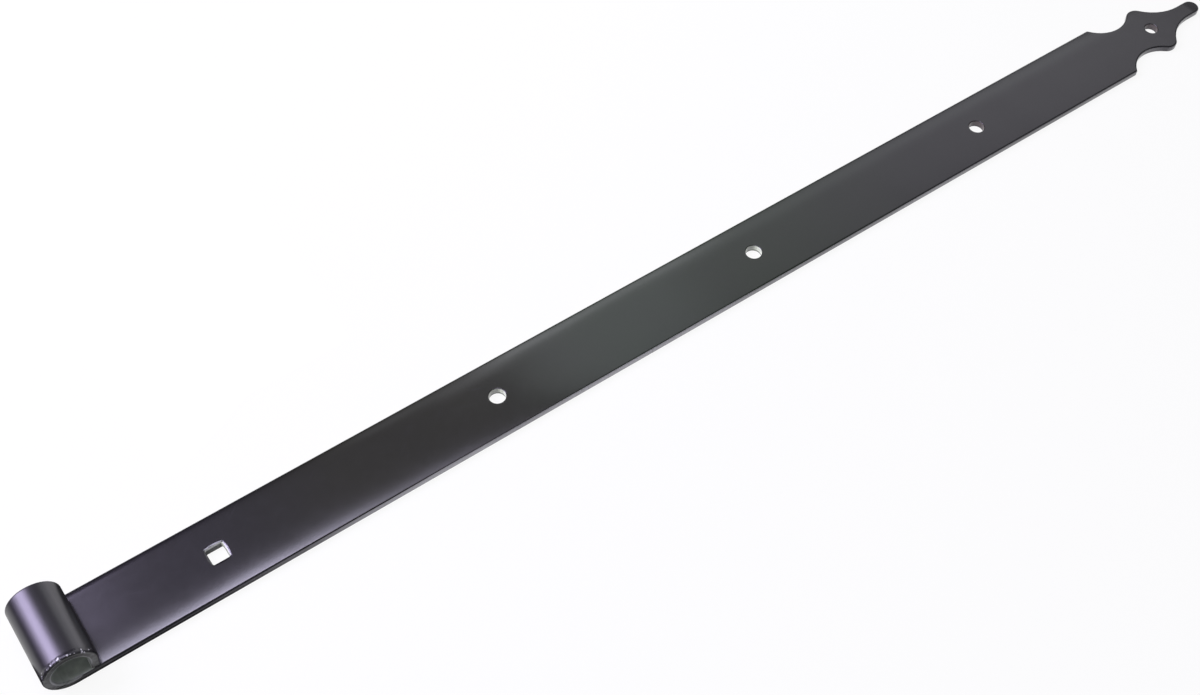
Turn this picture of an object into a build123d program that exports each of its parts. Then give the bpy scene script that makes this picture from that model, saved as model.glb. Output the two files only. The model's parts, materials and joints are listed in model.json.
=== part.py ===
"""Long strap, or band, of a hook and band hinge for a gate.

One flat steel bar: its near end is rolled up and over into an eye that drops
on the pin of a hook, its far end is blanked to a spear point, and a square
hole and four round holes take the bolts that hold it to the gate.

Millimetres. The origin is the centre of the eye, +X runs along the strap to
its point, +Y along the pin and +Z out of the face that the eye is rolled on.
"""

from build123d import *
from math import cos, radians, sin, sqrt
import os

# Bar
bar_width = 50.0
bar_thickness = 5.0
eye_to_tip = 900.0
edge_radius = 1.1

# Eye, rolled round a mandrel that leaves the pin free to turn
pin_diameter = 20.0
pin_clearance = 1.0
roll_past_level = 8.0  # degrees that the roll goes on below the level of the pin
seam_gap = 0.3

# Spear point: from the step in each edge a cove, a lobe and a hollow flank lead to a finger
step_from_tip = 89.0
step_corner_radius = 1.6
cove_radius = 24.0
cove_inset = 11.0
lobe_radius = 8.0
lobe_inset = 3.0
flank_radius = 34.0
finger_half_width = 6.0

# Square hole for the neck of a carriage bolt, its mouth drawn in by the punch
square_hole_side = 10.5
square_hole_corner = 0.9
square_hole_from_eye = 95.5
mouth_depth = 1.1
mouth_spread = 1.0
mouth_bow = 0.7
mouth_steps = 4

# Round bolt holes
bolt_hole_diameter = 10.5
bolt_hole_count = 3
bolt_hole_pitch = 197.5
first_bolt_hole_from_eye = 282.0
point_hole_diameter = 9.5
point_hole_from_tip = 48.0
punch_roundness = 0.6

# Levels and places that follow from the sizes above
half_width = bar_width / 2
eye_inner_radius = (pin_diameter + pin_clearance) / 2
eye_outer_radius = eye_inner_radius + bar_thickness
strap_top = -eye_inner_radius
strap_middle = strap_top - bar_thickness / 2
step_corner_x = eye_to_tip - step_from_tip
bar_end_x = eye_to_tip + bar_thickness  # blanking the point takes off the last of the bar

# Straight end of the bar, from where the roll stops down to the seam on the strap
lean = radians(roll_past_level)
tail_length = (eye_inner_radius - seam_gap - eye_outer_radius * sin(lean)) / cos(lean)


def toward(start, end, distance):
    """Point at a distance from start on the way to end."""
    return start + (end - start).normalized() * distance


def bowed_square(side, bow, corner):
    """Square with rounded corners, whose sides are straight or bow outward by a given rise."""
    reach = side / 2
    corners = [(reach, reach), (-reach, reach), (-reach, -reach), (reach, -reach)]
    with BuildSketch() as square:
        with BuildLine():
            for start, end in zip(corners, corners[1:] + corners[:1]):
                if bow:
                    SagittaArc(start, end, -bow)
                else:
                    Line(start, end)
        make_face()
        fillet(square.vertices(), radius=corner)
    return square.sketch


with BuildPart() as hinge_band:
    # The bar with its eye, drawn as its side view across the width
    with BuildSketch(Plane.XZ):
        with BuildLine():
            Line((bar_end_x, strap_middle), (0, strap_middle))
            roll = CenterArc((0, 0), -strap_middle, -90, -(270 + roll_past_level))
            tail = Line(roll @ 1, roll @ 1 + (roll % 1) * tail_length)
        trace(line_width=bar_thickness)
    extrude(amount=half_width, both=True)

    # Centres of the arcs of the spear point, each arc tangent to the next
    cove_y = half_width - cove_inset + cove_radius
    cove_reach = sqrt(cove_radius**2 - (cove_y - half_width) ** 2)
    cove = Vector(step_corner_x + cove_reach, cove_y)
    lobe_y = half_width - lobe_inset - lobe_radius
    lobe_reach = sqrt((cove_radius + lobe_radius) ** 2 - (cove_y - lobe_y) ** 2)
    lobe = Vector(cove.X + lobe_reach, lobe_y)
    flank_y = finger_half_width + flank_radius
    flank_reach = sqrt((lobe_radius + flank_radius) ** 2 - (flank_y - lobe_y) ** 2)
    flank = Vector(lobe.X + flank_reach, flank_y)

    # The spear point, blanked out of the bar's far end
    with BuildSketch(Plane.XY) as plan_view:
        with BuildLine():
            step_corner = Vector(step_corner_x, half_width)
            cove_end = toward(cove, lobe, cove_radius)
            lobe_end = toward(lobe, flank, lobe_radius)
            finger_start = Vector(flank.X, finger_half_width)
            finger_end = Vector(eye_to_tip - finger_half_width, finger_half_width)
            Polyline((-eye_outer_radius, 0), (-eye_outer_radius, half_width), step_corner)
            RadiusArc(step_corner, cove_end, -cove_radius)
            RadiusArc(cove_end, lobe_end, lobe_radius)
            RadiusArc(lobe_end, finger_start, -flank_radius)
            Line(finger_start, finger_end)
            RadiusArc(finger_end, (eye_to_tip, 0), finger_half_width)
            mirror(about=Plane.XZ)
        make_face()
        corners = plan_view.vertices().filter_by_position(
            Axis.X, step_corner_x - step_corner_radius, step_corner_x + step_corner_radius
        )
        fillet(corners, radius=step_corner_radius)
    extrude(amount=eye_outer_radius, both=True, mode=Mode.INTERSECT)

    # Every outside edge of the bar is rounded, with the four edges of its rolled end
    across = hinge_band.edges().filter_by(Axis.Y)
    upright = hinge_band.edges().filter_by(Axis.Z)
    rolled_end = hinge_band.faces().sort_by_distance(Plane.XZ.from_local_coords(tail @ 1))[0]
    outline = hinge_band.edges() - across - upright
    fillet(outline + rolled_end.edges().filter_by(Axis.Y), radius=edge_radius)

    # The square hole, straight through
    with BuildSketch(Plane((square_hole_from_eye, 0, strap_top))):
        add(bowed_square(square_hole_side, 0, square_hole_corner))
    extrude(amount=-bar_thickness, mode=Mode.SUBTRACT)

    # Its mouth, a quarter round that spreads furthest half way along each side
    for step in range(mouth_steps + 1):
        turn = radians(90 * step / mouth_steps)
        depth = mouth_depth * (1 - sin(turn))
        spread = mouth_spread * (1 - cos(turn))
        bow = mouth_bow * (1 - cos(turn))
        with BuildSketch(Plane((square_hole_from_eye, 0, strap_top - depth))):
            add(bowed_square(square_hole_side + 2 * spread, bow, square_hole_corner + spread))
    loft(mode=Mode.SUBTRACT)

    # The round holes, rounded where the punch went in
    bolt_row = [first_bolt_hole_from_eye + bolt_hole_pitch * n for n in range(bolt_hole_count)]
    with Locations(*[(x, 0, strap_top) for x in bolt_row]):
        Hole(radius=bolt_hole_diameter / 2, depth=bar_thickness)
    rims = hinge_band.edges(Select.LAST).filter_by(GeomType.CIRCLE)
    with Locations((eye_to_tip - point_hole_from_tip, 0, strap_top)):
        Hole(radius=point_hole_diameter / 2, depth=bar_thickness)
    rims += hinge_band.edges(Select.LAST).filter_by(GeomType.CIRCLE)
    fillet(rims.group_by(Axis.Z)[-1], radius=punch_roundness)

hinge_band.part.label = "hinge_band"
os.makedirs("parts", exist_ok=True)
export_step(hinge_band.part, "parts/hinge_band.step")
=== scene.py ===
"""Looks of the band of a hook and band gate hinge: its black satin coat, the camera and a plain studio.

Metres, in the frame of the CAD part: the origin is the centre of the eye, +X
runs along the strap to its point, +Y along the bore of the eye and +Z out of
the face that the eye is rolled on. The photo shows the edge at -Y as the near
one, and the eye to the left.
"""

import json
from functools import reduce
from math import cos, pi, radians

import bpy
from mathutils import Matrix, Vector


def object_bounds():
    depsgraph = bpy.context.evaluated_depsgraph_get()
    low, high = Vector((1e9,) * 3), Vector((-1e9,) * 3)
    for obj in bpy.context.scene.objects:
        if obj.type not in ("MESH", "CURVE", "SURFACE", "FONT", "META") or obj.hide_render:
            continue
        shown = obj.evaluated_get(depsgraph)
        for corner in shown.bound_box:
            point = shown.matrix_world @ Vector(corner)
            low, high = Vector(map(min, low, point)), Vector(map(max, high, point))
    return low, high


MM = 0.001

# Sizes of the part that the coat follows, beside those that its record gives
HALF_WIDTH = 25 * MM
EYE_INNER = 10.5 * MM
EYE_OUTER = 15.5 * MM
FACE_LEVEL = -EYE_INNER
SQUARE_HOLE_HALF = 5.25 * MM

# Coat: its colour by the eye, and each later one with the places between which it sets in
COAT_BY_EYE = (0.008, 0.007, 0.010)
COAT_ALONG = [
    (80 * MM, 200 * MM, (0.010, 0.010, 0.005)),
    (260 * MM, 380 * MM, (0.008, 0.016, 0.006)),
    (460 * MM, 660 * MM, (0.009, 0.009, 0.010)),
]
COAT_MOTTLE = (0.005, 0.005, 0.006)
COAT_REFLECTION = (0.93, 0.90, 1.0)
COAT_IOR = 1.7

# Where the coat is worn, thin or gone, and where light, sheen and shade are painted on; blotches, or the way
# a wall faces, mix the pairs of colours, and the pairs mixed by the way a wall faces are painted lit and
# shaded copies
# painted reflection: grey sheen on the bar's sides for the white floor they mirror
SIDE_SHEEN = (0.36, 0.36, 0.36)
# roll ends: dark, and lighter greenish blotches that also paint the reflection of the floor before them
ROLL_END_BLOTCHES_AND_SHEEN = ((0.008, 0.009, 0.008), (0.060, 0.066, 0.058))
BORE = ((0.22, 0.245, 0.22), (0.50, 0.54, 0.49))
BORE_EDGE = (0.20, 0.21, 0.20)
# round hole walls: thin coat, with painted light, nearly white where they face the eye
LIT_BARE_WALL = ((0.38, 0.40, 0.34), (0.86, 0.93, 0.74))
# rusty round hole walls, with painted light where they face the eye
LIT_RUSTY_WALL = ((0.030, 0.014, 0.012), (0.10, 0.082, 0.075))
RUST = (0.05, 0.03, 0.025)
# square hole walls: painted light, nearly white where they face the eye
LIT_SQUARE_WALL = ((0.15, 0.155, 0.14), (0.90, 0.95, 0.78))
# painted highlight on the square hole's mouth
MOUTH_HIGHLIGHT = ((0.44, 0.46, 0.42), (0.66, 0.71, 0.58))
CHIP = (0.55, 0.55, 0.58)
SCRATCH = (0.022, 0.022, 0.026)

# Camera, worked out from the photo's edges, holes and eye
PHOTO_WIDTH = 1200
FOCAL_LENGTH = 1530.1  # in pixels of the photo
SENSOR_WIDTH = 36
CAMERA_PLACE = (0.0249, -0.4472, 0.7554)
CAMERA_TURN = (35.69, -1.00, -35.28)  # degrees

# Floor
FLOOR_HALF = 40
FLOOR_GAP = 0.05 * MM
FLOOR_PAINT = (0.8, 0.8, 0.8)
WHITE = (1, 1, 1)
SHOWN_WHITE = 0.9  # share of plain white in the floor, as the camera sees it
MIRRORED_SHADE = 0.04  # painted shade: light of the ground right beside the eye end, as the object mirrors it

# Room: the light of its walls, and soft patches on them
WALLS = 0.05
PATCHES = [
    # direction, angles from it where the patch starts to fade and ends, light
    ((0.36, 0.40, 0.84), (20, 30), 0.31),
    ((0.78, 0.36, 0.51), (6, 22), 0.20),
    ((0.86, 0.51, 0.02), (5, 27), 1.6),
    ((-0.60, -0.65, 0.45), (20, 50), 0.45),
    ((0.75, -0.60, 0.30), (10, 40), 0.35),
]

# Lamps, all rectangular
KEY_COLOUR = (0.81, 0.74, 1.0)
SKY_COLOUR = (0.87, 0.86, 1.0)
FAR_COLOUR = (0.95, 1.0, 0.96)
START_COLOUR = (0.84, 1.0, 0.92)
KEY_LAMPS = [
    # name, place, direction of the width, width, depth, radiance; they face the eye
    ("key_wide", (-0.97, 0.83, 1.01), (0.72, 0, 0.69), 1.75, 0.8, 1.4),
    ("key", (-0.73, 0.816, 1.168), (0.848, 0, 0.53), 1.55, 0.8, 4.1),
    ("key_heart", (-0.70, 0.78, 1.12), (0.848, 0, 0.53), 0.75, 0.7, 6.0),
]
LAMPS_ABOVE = [
    # name, place, width along the strap, depth, radiance, colour; they face down
    ("overhead", (0.13, 0.07, 1.4), 0.46, 0.64, 9.0, SKY_COLOUR),
    ("overhead_end", (0.49, 0.07, 1.4), 0.26, 0.64, 2.2, SKY_COLOUR),
    ("strip", (0.875, 0.195, 0.35), 0.87, 0.13, 0.42, WHITE),
    ("strip_start", (0.53, 0.20, 0.36), 0.18, 0.13, 0.30, START_COLOUR),
    ("strip_shoulder", (0.83, 0.295, 0.35), 0.90, 0.07, 0.72, FAR_COLOUR),
    ("strip_back_start", (0.41, 0.39, 0.36), 0.24, 0.12, 0.45, FAR_COLOUR),
    ("strip_back", (0.57, 0.39, 0.35), 0.26, 0.12, 1.65, FAR_COLOUR),
    ("strip_back_end", (0.99, 0.39, 0.35), 0.58, 0.12, 0.74, FAR_COLOUR),
]


class Nodes:
    """The shader nodes of a material or world. Their inputs are numbers, colours or other nodes' outputs."""

    def __init__(self, owner):
        owner.use_nodes = True
        self.tree = owner.node_tree
        self.tree.nodes.clear()

    def feed(self, socket, value):
        """Give a node's input its value."""
        if isinstance(value, bpy.types.NodeSocket):
            self.tree.links.new(value, socket)
        elif socket.type == "RGBA":
            socket.default_value = (*value, 1)
        else:
            socket.default_value = value

    def make(self, kind, inputs=None, **settings):
        """A new node with its settings and inputs."""
        made = self.tree.nodes.new("ShaderNode" + kind)
        for name, value in settings.items():
            setattr(made, name, value)
        for name, value in (inputs or {}).items():
            self.feed(made.inputs[name], value)
        return made

    def math(self, operation, *values):
        """The result of one sum."""
        return self.make("Math", dict(enumerate(values)), operation=operation).outputs[0]

    def chain(self, operation, values):
        """The result of a sum on two or more values, from left to right."""
        return reduce(lambda first, second: self.math(operation, first, second), values)

    def plus(self, *values):
        return self.chain("ADD", values)

    def less(self, *values):
        return self.chain("SUBTRACT", values)

    def times(self, *values):
        return self.chain("MULTIPLY", values)

    def highest(self, *values):
        return self.chain("MAXIMUM", values)

    def lowest(self, *values):
        return self.chain("MINIMUM", values)

    def size(self, value):
        """A value without its sign."""
        return self.math("ABSOLUTE", value)

    def power(self, value, exponent):
        return self.math("POWER", value, exponent)

    def parts(self, vector):
        """The three parts of a vector."""
        return self.make("SeparateXYZ", {"Vector": vector}).outputs

    def length(self, **parts):
        """Length of the vector that has the given parts."""
        vector = self.make("CombineXYZ", parts).outputs[0]
        return self.make("VectorMath", {0: vector}, operation="LENGTH").outputs["Value"]

    def ramp(self, value, start, end, low=0.0, high=1.0, shape="SMOOTHSTEP"):
        """A step of value from low at start to high at end."""
        inputs = {"Value": value, "From Min": start, "From Max": end, "To Min": low, "To Max": high}
        return self.make("MapRange", inputs, interpolation_type=shape).outputs["Result"]

    def noise(self, place, size, detail=2.0):
        """Cloudy noise from 0 to 1, whose blotches are about size metres across."""
        return self.make("TexNoise", {"Vector": place, "Scale": 1 / size, "Detail": detail}).outputs["Fac"]

    def mix(self, share, first, second):
        """Two colours mixed by a share from 0 to 1."""
        made = self.make("Mix", data_type="RGBA")
        sockets = {socket.identifier: socket for socket in [*made.inputs, *made.outputs]}
        self.feed(sockets["Factor_Float"], share)
        self.feed(sockets["A_Color"], first)
        self.feed(sockets["B_Color"], second)
        return sockets["Result_Color"]

    def mix_value(self, share, first, second):
        """Two numbers mixed by a share from 0 to 1."""
        inputs = {"Factor": share, "A": first, "B": second}
        return self.make("Mix", inputs, data_type="FLOAT").outputs["Result"]


class Coat(Nodes):
    """Nodes of the band's coat, with the place of a point, the way it faces and the regions used twice."""

    def __init__(self, material):
        super().__init__(material)
        coordinates = self.make("TexCoord").outputs
        self.place = coordinates["Object"]
        self.x, self.y, self.z = self.parts(self.place)
        self.normal_x, self.normal_y, _ = self.parts(coordinates["Normal"])
        self.off_centre = self.size(self.y)
        self.sideways = self.size(self.normal_y)
        self.from_pin = self.length(X=self.x, Z=self.z)

        self.on_roll_end = self.times(
            self.ramp(self.sideways, 0.75, 0.95),
            self.ramp(self.x, 15 * MM, 19 * MM, 1, 0),
        )
        self.on_near_rim = self.times(
            self.ramp(self.y, -21.5 * MM, -23.5 * MM),
            self.ramp(self.from_pin, EYE_OUTER - 2.1 * MM, EYE_OUTER - 0.9 * MM),
            self.ramp(self.z, 1 * MM, 7 * MM),
        )
        self.lumps = self.noise(self.place, 1.8 * MM)
        self.scratches = self.times(
            self.highest(self.streaks(24, 30 * MM, 0.8 * MM), self.streaks(-38, 22 * MM, 0.7 * MM)),
            self.ramp(self.z, FACE_LEVEL + 0.5 * MM, FACE_LEVEL + 2 * MM, 1, 0),
        )

    def streaks(self, angle, length, width):
        """Sparse fine lines at an angle to the strap, of a length and width: 1 on them and 0 beside."""
        inputs = {"Vector": self.place, "Angle": radians(angle)}
        turned = self.make("VectorRotate", inputs, rotation_type="Z_AXIS").outputs["Vector"]
        inputs = {0: turned, 1: (1 / length, 1 / width, 1 / length)}
        drawn_out = self.make("VectorMath", inputs, operation="MULTIPLY").outputs["Vector"]
        return self.ramp(self.noise(drawn_out, 1, detail=1), 0.70, 0.78)

    def along_strap(self):
        """The coat's colour from the eye to the point, with a slow mottle."""
        colour = COAT_BY_EYE
        for start, end, next_colour in COAT_ALONG:
            colour = self.mix(self.ramp(self.x, start, end), colour, next_colour)
        mottle = self.noise(self.place, 40 * MM, detail=4)
        return self.mix(self.times(mottle, 0.4), colour, COAT_MOTTLE)

    def sheen_on_sides(self, colour):
        """The bar's sides, with a painted grey sheen for the white floor that they mirror: away from the eye,
        in the strap's middle up to their edges.
        """
        before_middle = self.ramp(self.x, 170 * MM, 250 * MM, 1, 0)
        after_middle = self.ramp(self.x, 420 * MM, 520 * MM)
        narrow = self.highest(before_middle, after_middle)
        start = self.ramp(narrow, 0, 1, 0.45, 0.75)
        end = self.ramp(narrow, 0, 1, 0.85, 0.95)
        on_side = self.ramp(self.sideways, start, end)
        clear_of_holes = self.ramp(self.off_centre, 5.3 * MM, 5.7 * MM)
        away_from_eye = self.ramp(self.x, 50 * MM, 240 * MM)
        past_middle = self.ramp(self.x, 400 * MM, 520 * MM, 1, 0.6)
        toward_point = self.ramp(self.x, 600 * MM, 700 * MM, 1, 0.45)
        patchy = self.ramp(self.noise(self.place, 60 * MM, detail=3), 0.35, 0.65, 0.65, 1)
        # painted sheen: the grey stands in for the white floor mirrored in the sides
        painted_sheen = self.times(on_side, clear_of_holes, away_from_eye, past_middle, toward_point, patchy)
        return self.mix(painted_sheen, colour, SIDE_SHEEN)

    def blotches_and_sheen_on_roll_ends(self, colour):
        """The ends of the roll, blotchy, with the blotches lighter level with the bore as a painted
        reflection of the floor before them, and darker at their top and bottom.
        """
        blotches = self.ramp(self.noise(self.place, 2.2 * MM, detail=4), 0.35, 0.65)
        # painted reflection: the lighter blotches only level with the bore, darker at the top and bottom
        level_with_bore = self.ramp(self.size(self.z), 9 * MM, 11.5 * MM, 1, 0.1)
        end_colour = self.mix(self.times(blotches, level_with_bore), *ROLL_END_BLOTCHES_AND_SHEEN)
        return self.mix(self.on_roll_end, colour, end_colour)

    def thin_in_bore(self, colour):
        """Inside the eye, where the coat is thin and dull, and the edge of the bore, worn by the pin."""
        from_middle = self.highest(self.size(self.x), self.size(self.z))
        in_bore = self.times(
            self.ramp(from_middle, EYE_INNER + 0.1 * MM, EYE_INNER + 0.4 * MM, 1, 0),
            self.ramp(self.off_centre, HALF_WIDTH - 0.8 * MM, HALF_WIDTH - 0.3 * MM, 1, 0),
        )
        colour = self.mix(in_bore, colour, self.mix(self.noise(self.place, 4 * MM, detail=3), *BORE))
        on_edge = self.times(
            self.ramp(self.from_pin, EYE_INNER + 0.7 * MM, EYE_INNER + 1.2 * MM, 1, 0),
            self.ramp(self.off_centre, HALF_WIDTH - 1.5 * MM, HALF_WIDTH - 1 * MM),
        )
        return self.mix(on_edge, colour, BORE_EDGE)

    def lit_round_hole_walls(self, colour, holes):
        """Walls of the round holes: a thin grey coat by the eye and dark with some rust by the point, each
        with painted light where the wall faces the eye, and darker toward their foot.
        """
        distances = []
        for place_along, radius in holes:
            from_axis = self.length(X=self.less(self.x, place_along), Y=self.y)
            distances.append(self.less(from_axis, radius))
        in_hole = self.ramp(self.lowest(*distances), 0.03 * MM, 0.15 * MM, 1, 0)
        above_foot = self.ramp(self.z, FACE_LEVEL - 3.6 * MM, FACE_LEVEL - 4.4 * MM, 1, 0.25)
        # painted light: walls that face the eye get the lighter colour of each pair
        lit_bare = self.mix(self.ramp(self.normal_x, -0.5, -0.9), *LIT_BARE_WALL)
        lit_rusty = self.mix(self.ramp(self.normal_x, -0.35, -0.8), *LIT_RUSTY_WALL)
        lit_rusty = self.mix(self.noise(self.place, 2 * MM), lit_rusty, RUST)
        wall = self.mix(self.ramp(self.x, 580 * MM, 620 * MM), lit_bare, lit_rusty)
        return self.mix(self.times(in_hole, above_foot), colour, wall)

    def lit_square_hole(self, colour, square_hole):
        """Walls of the square hole, grey with painted light that is nearly white where they face the eye, and
        a painted highlight on its mouth where it faces the eye and the near edge.
        """
        beside = self.size(self.less(self.x, square_hole))
        from_hole = self.less(self.highest(beside, self.off_centre), SQUARE_HOLE_HALF)
        toward_eye = self.ramp(self.normal_x, -0.25, -0.6)
        toward_near = self.ramp(self.normal_y, -0.25, -0.6)
        in_hole = self.times(
            self.ramp(from_hole, 0.05 * MM, 0.25 * MM, 1, 0),
            self.ramp(self.z, FACE_LEVEL - 0.9 * MM, FACE_LEVEL - 1.2 * MM),
        )
        colour = self.mix(in_hole, colour, self.mix(toward_eye, *LIT_SQUARE_WALL))
        # painted highlight on the mouth where it faces the eye or the near edge
        painted_sheen = self.times(
            self.ramp(from_hole, 1.9 * MM, 2.2 * MM, 1, 0),
            self.ramp(self.z, FACE_LEVEL - 0.03 * MM, FACE_LEVEL - 0.15 * MM),
            self.ramp(self.z, FACE_LEVEL - 1.2 * MM, FACE_LEVEL - 0.9 * MM),
            self.highest(toward_near, toward_eye),
        )
        return self.mix(painted_sheen, colour, self.mix(toward_eye, *MOUTH_HIGHLIGHT))

    def chip_and_scratch(self, colour):
        """The near rim of the roll, chipped to bright specks, and faint scratches on the strap's face."""
        chips = self.times(self.on_near_rim, self.ramp(self.lumps, 0.62, 0.68))
        colour = self.mix(chips, colour, CHIP)
        return self.mix(self.times(self.scratches, 0.3), colour, SCRATCH)

    def roughness(self):
        """Satin, with a fine grain, and duller on scratches, on the roll and most on its ends."""
        grain = self.noise(self.place, 6 * MM, detail=4)
        satin = self.plus(self.times(grain, 0.05), 0.17)
        on_roll = self.ramp(self.z, FACE_LEVEL + 0.5 * MM, FACE_LEVEL + 3 * MM, 0, 0.10)
        return self.plus(satin, self.times(self.scratches, 0.03), on_roll, self.times(self.on_roll_end, 0.03))

    def relief(self):
        """Height of the coat: the face falls toward its long edges and at the finger's end, with a slow wave,
        the skin of the coat and the lumps of the near rim."""
        near_depth = self.ramp(self.x, 240 * MM, 360 * MM, -1.4 * MM, -0.2 * MM)
        near_fall = self.times(self.power(self.times(self.off_centre, 1 / HALF_WIDTH), 2.5), near_depth)
        far_start = self.ramp(self.x, 50 * MM, 280 * MM, 18.5 * MM, 9 * MM)
        far_depth = self.ramp(self.x, 50 * MM, 280 * MM, -0.6 * MM, -1.0 * MM)
        to_edge = self.ramp(self.off_centre, far_start, HALF_WIDTH, shape="LINEAR")
        last_of_edge = self.ramp(self.y, HALF_WIDTH - 1.5 * MM, HALF_WIDTH, shape="LINEAR")
        far_fall = self.plus(
            self.times(self.power(to_edge, 3.0), far_depth),
            self.times(self.power(last_of_edge, 2.0), -0.25 * MM),
        )
        fall = self.mix_value(self.math("GREATER_THAN", self.y, 0), near_fall, far_fall)
        finger_end = self.ramp(self.x, 890 * MM, 906 * MM, 0, -0.9 * MM)
        on_face = self.ramp(self.z, FACE_LEVEL + 0.2 * MM, FACE_LEVEL + 1.2 * MM, 1, 0)
        fall = self.times(self.plus(fall, finger_end), on_face)
        skin = self.times(self.noise(self.place, 1.6 * MM, detail=1), 0.006 * MM)
        wave = self.times(self.noise(self.place, 30 * MM, detail=0), 0.18 * MM)
        return self.plus(fall, skin, wave, self.times(self.lumps, self.on_near_rim, 0.5 * MM))


def coated_steel(name, holes, square_hole):
    """Black satin coat on rolled steel, thin in the punched holes, whose walls carry painted light, and with
    a painted grey sheen along the bar's sides.
    Holes gives the place along the strap and the radius of each round one, square_hole its place."""
    material = bpy.data.materials.new(name)
    coat = Coat(material)
    colour = coat.along_strap()
    colour = coat.sheen_on_sides(colour)
    colour = coat.blotches_and_sheen_on_roll_ends(colour)
    colour = coat.thin_in_bore(colour)
    colour = coat.lit_round_hole_walls(colour, holes)
    colour = coat.lit_square_hole(colour, square_hole)
    colour = coat.chip_and_scratch(colour)
    bump = coat.make("Bump", {"Height": coat.relief(), "Strength": 1.0, "Distance": 1.0})
    inputs = {
        "Base Color": colour,
        "Roughness": coat.roughness(),
        "IOR": COAT_IOR,
        "Specular Tint": COAT_REFLECTION,
        "Normal": bump.outputs["Normal"],
    }
    shader = coat.make("BsdfPrincipled", inputs)
    coat.make("OutputMaterial", {"Surface": shader.outputs["BSDF"]})
    return material


def mirrored_ground(floor):
    """Light of the floor as the object mirrors it: white, but for painted shade with painted light lines and
    a painted glare on the ground round the eye end.
    """
    x, y, _ = floor.parts(floor.make("TexCoord").outputs["Object"])

    # Before the strap: painted shade, with a painted light line beside it, a painted light band before the
    # eye, and light ground far off
    line = floor.times(
        floor.ramp(y, -26.5 * MM, -26.9 * MM, MIRRORED_SHADE, 0.55),
        floor.ramp(y, -27.4 * MM, -27.9 * MM, 1, 0.08),
    )
    before_eye = floor.times(
        floor.ramp(y, -28.5 * MM, -31.5 * MM, 0, 0.95),
        floor.ramp(y, -35.5 * MM, -39.5 * MM, 1, 0.05),
        floor.ramp(x, 18 * MM, 24 * MM, 1, 0),
    )
    before = floor.highest(line, before_eye, floor.ramp(y, -120 * MM, -250 * MM))

    # Behind the strap: painted shade up to an edge that spreads along it, then light, with a painted glare
    # farther on
    dark_edge = floor.highest(floor.lowest(floor.times(x, 0.5), 80 * MM), 42 * MM)
    beyond = floor.less(y, dark_edge)
    glare = floor.times(
        floor.ramp(x, 90 * MM, 140 * MM, 0, 0.8),
        floor.ramp(beyond, 5 * MM, 18 * MM),
        floor.ramp(y, 60 * MM, 90 * MM),
    )
    behind = floor.plus(floor.ramp(beyond, 0, 14 * MM, MIRRORED_SHADE, 1), glare)
    left_of_eye = floor.ramp(x, -15 * MM, -20 * MM)
    behind = floor.highest(behind, left_of_eye)

    # The painted shade fades out along the strap, and far to the left all ground is dimmer
    ground = floor.mix_value(floor.ramp(y, -1 * MM, 1 * MM), before, behind)
    ground = floor.mix_value(floor.ramp(x, 60 * MM, 240 * MM, 1, 0), 1.0, ground)
    return floor.times(ground, floor.ramp(x, -60 * MM, -250 * MM, 1, 0.35))


def floor_material(name):
    """Pale floor that keeps the object's shadow: nearly plain white to the camera, and mirrored as above."""
    material = bpy.data.materials.new(name)
    floor = Nodes(material)
    ground = mirrored_ground(floor)
    path = floor.make("LightPath").outputs
    mirrored = floor.highest(path["Is Glossy Ray"], path["Is Transmission Ray"])
    share = floor.highest(floor.times(path["Is Camera Ray"], SHOWN_WHITE), mirrored)
    strength = floor.highest(path["Is Camera Ray"], ground)
    paint = floor.make("BsdfDiffuse", {"Color": FLOOR_PAINT})
    white = floor.make("Emission", {"Color": WHITE, "Strength": strength})
    both = floor.make("MixShader", {0: share, 1: paint.outputs[0], 2: white.outputs[0]})
    floor.make("OutputMaterial", {"Surface": both.outputs[0]})
    return material


def add_floor(level):
    """The floor that the strap lies on."""
    corners = [(-1, -1), (1, -1), (1, 1), (-1, 1)]
    mesh = bpy.data.meshes.new("floor")
    mesh.from_pydata([(FLOOR_HALF * a, FLOOR_HALF * b, level) for a, b in corners], [], [(0, 1, 2, 3)])
    floor = bpy.data.objects.new("floor", mesh)
    bpy.context.scene.collection.objects.link(floor)
    mesh.materials.append(floor_material("floor"))


def add_softbox(name, place, aim, along, width, depth, radiance, colour):
    """A rectangular lamp at a place that faces aim; width lies along a direction and depth across it."""
    away = (Vector(place) - Vector(aim)).normalized()
    side = (Vector(along) - Vector(along).dot(away) * away).normalized()
    lamp = bpy.data.lights.new(name, "AREA")
    lamp.shape = "RECTANGLE"
    lamp.size = width
    lamp.size_y = depth
    lamp.energy = radiance * pi * width * depth
    lamp.color = colour
    softbox = bpy.data.objects.new(name, lamp)
    softbox.location = place
    softbox.rotation_euler = Matrix((side, away.cross(side), away)).transposed().to_euler()
    softbox.visible_camera = False
    bpy.context.scene.collection.objects.link(softbox)


def add_lamps():
    """The key lamps behind the eye, and the lamps above the strap."""
    for name, place, along, width, depth, radiance in KEY_LAMPS:
        add_softbox(name, place, (0, 0, 0), along, width, depth, radiance, KEY_COLOUR)
    for name, place, width, depth, radiance, colour in LAMPS_ABOVE:
        below = (*place[:2], 0)
        add_softbox(name, place, below, (1, 0, 0), width, depth, radiance, colour)


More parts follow.
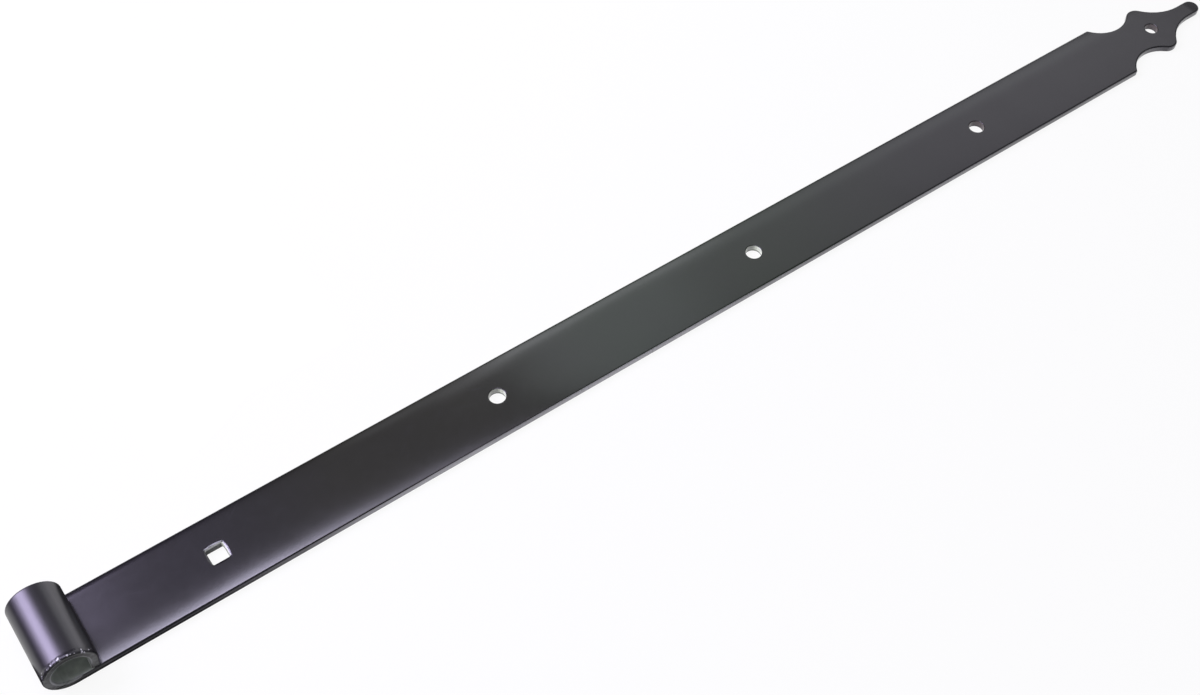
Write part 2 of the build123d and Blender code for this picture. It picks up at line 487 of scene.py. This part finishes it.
def add_world():
    """A dim room with a few soft patches of light on its walls and ceiling."""
    world = bpy.data.worlds.new("studio")
    room = Nodes(world)
    way = room.make("TexCoord").outputs["Generated"]
    strength = WALLS
    for direction, (inner, outer), light in PATCHES:
        inputs = {0: way, 1: Vector(direction).normalized()}
        toward = room.make("VectorMath", inputs, operation="DOT_PRODUCT").outputs["Value"]
        patch = room.ramp(toward, cos(radians(outer)), cos(radians(inner)), 0, light)
        strength = room.plus(patch, strength)
    background = room.make("Background", {"Color": WHITE, "Strength": strength})
    room.make("OutputWorld", {"Surface": background.outputs[0]})
    bpy.context.scene.world = world


def add_camera():
    """The photo's camera."""
    data = bpy.data.cameras.new("camera")
    data.sensor_fit = "HORIZONTAL"
    data.sensor_width = SENSOR_WIDTH
    data.lens = SENSOR_WIDTH * FOCAL_LENGTH / PHOTO_WIDTH
    camera = bpy.data.objects.new("camera", data)
    camera.location = CAMERA_PLACE
    camera.rotation_euler = [radians(angle) for angle in CAMERA_TURN]
    bpy.context.scene.collection.objects.link(camera)
    bpy.context.scene.camera = camera


def as_lists(box):
    return [list(corner) for corner in box]


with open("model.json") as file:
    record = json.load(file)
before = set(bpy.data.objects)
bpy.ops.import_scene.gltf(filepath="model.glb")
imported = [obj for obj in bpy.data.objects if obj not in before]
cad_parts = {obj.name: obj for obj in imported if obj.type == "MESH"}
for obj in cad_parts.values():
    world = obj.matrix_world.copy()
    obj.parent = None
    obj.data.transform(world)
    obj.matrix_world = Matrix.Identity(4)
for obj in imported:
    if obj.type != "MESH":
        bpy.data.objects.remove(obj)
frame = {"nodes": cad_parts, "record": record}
cad_box = as_lists(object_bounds())

mounts = {mount["name"]: mount for mount in frame["record"]["mounts"]}
round_holes = [
    (mount["pos_m"][0], mount["dims"]["r_mm"] * MM)
    for name, mount in mounts.items()
    if mount["kind"] == "bore" and name != "eye_bore"
]
square_hole = mounts["square_bolt_hole"]["pos_m"][0]

band = frame["nodes"]["hinge_band"]
band.data.materials.clear()
band.data.materials.append(coated_steel("coated_steel", round_holes, square_hole))

add_camera()
add_floor(cad_box[0][2] - FLOOR_GAP)
add_world()
add_lamps()

bpy.context.scene.view_settings.view_transform = "Standard"
